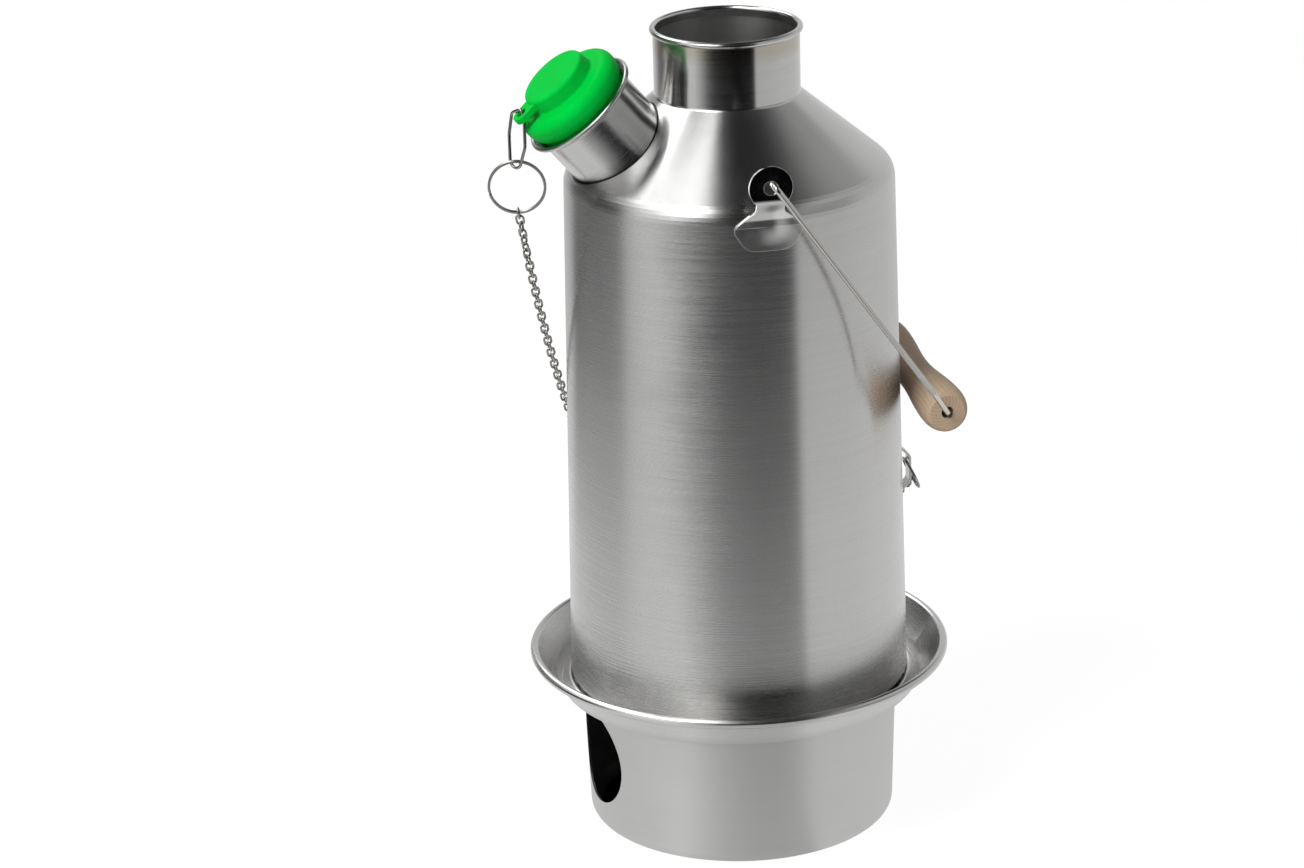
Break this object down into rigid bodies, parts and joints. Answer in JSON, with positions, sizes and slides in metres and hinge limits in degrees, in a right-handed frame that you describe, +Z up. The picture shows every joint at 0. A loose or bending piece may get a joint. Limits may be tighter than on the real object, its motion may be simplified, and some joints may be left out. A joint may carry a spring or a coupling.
{
  "type": "storm kettle",
  "caption": "Stainless kettle with a chimney through its water jacket, side spout with chained stopper, wire bail with wooden grip, standing in a flared fire base.",
  "frame": {"origin": "centre of the fire base's underside, on the surface it stands on", "axes": "+Z up along the chimney; the spout points towards -X and turns 6 degrees towards -Y; the bail hinges about Y and hangs on the +X side"},
  "size_m": [0.1882, 0.176, 0.342],
  "materials": {
    "body_steel": "fine brushed stainless steel, grain round the body",
    "base_steel": "satin spun stainless steel",
    "flue_steel": "bright stainless steel, faintly heat-tinted at the mouth",
    "polished_steel": "mirror-polished pressed stainless steel",
    "wire_steel": "bright drawn stainless wire",
    "nickel": "shiny nickel plating",
    "wood": "pale turned hardwood, lightly oiled",
    "silicone": "bright green moulded silicone, soft sheen"
  },
  "bodies": {
    "base": {"fire_base": "base_steel"},
    "kettle": {"outer_shell": "body_steel", "flue": "flue_steel", "bottom_ring": "flue_steel", "spout": "body_steel", "bail_lug_front": "polished_steel", "bail_lug_back": "polished_steel", "chain_lug": "polished_steel", "chain_top": "nickel", "chain_mid": "nickel", "chain_hang": "nickel", "chain_wrap": "nickel", "chain_rear": "nickel"},
    "bail": {"bail_wire": "wire_steel"},
    "grip": {"bail_grip": "wood"},
    "stopper": {"stopper": "silicone"},
    "connector": {"connector_link": "nickel"},
    "ring": {"split_ring": "nickel"},
    "rear_ring": {"lug_ring": "nickel"}
  },
  "joints": [
    {"name": "kettle_lift", "type": "slide", "parent": "base", "child": "kettle", "axis": [0, 0, 1], "range_m": [0, 0.12]},
    {"name": "bail_swing", "type": "hinge", "parent": "kettle", "child": "bail", "pos_m": [0.0012, 0, 0.2951], "axis": [0, -1, 0], "range_deg": [0, 270]},
    {"name": "grip_spin", "type": "hinge", "parent": "bail", "child": "grip", "pos_m": [0.07763, 0, 0.18552], "axis": [0, 1, 0], "continuous": true},
    {"name": "stopper_pull", "type": "slide", "parent": "kettle", "child": "stopper", "axis": [-0.6393, -0.0672, 0.766], "range_m": [0, 0.03], "deforming": ["chain_top", "chain_mid", "chain_hang", "chain_wrap", "chain_rear"]},
    {"name": "connector_swing", "type": "hinge", "parent": "stopper", "child": "connector", "pos_m": [-0.08726, -0.01, 0.31547], "axis": [-0.6428, 0.766, 0], "range_deg": [-4, 4]},
    {"name": "ring_swing", "type": "hinge", "parent": "connector", "child": "ring", "pos_m": [-0.08901, -0.00791, 0.29472], "axis": [0.9744, -0.225, 0], "range_deg": [-8, 8]},
    {"name": "rear_ring_swing", "type": "hinge", "parent": "kettle", "child": "rear_ring", "pos_m": [0.07311, 0, 0.1479], "axis": [0, 1, 0], "range_deg": [-20, 8]}
  ]
}
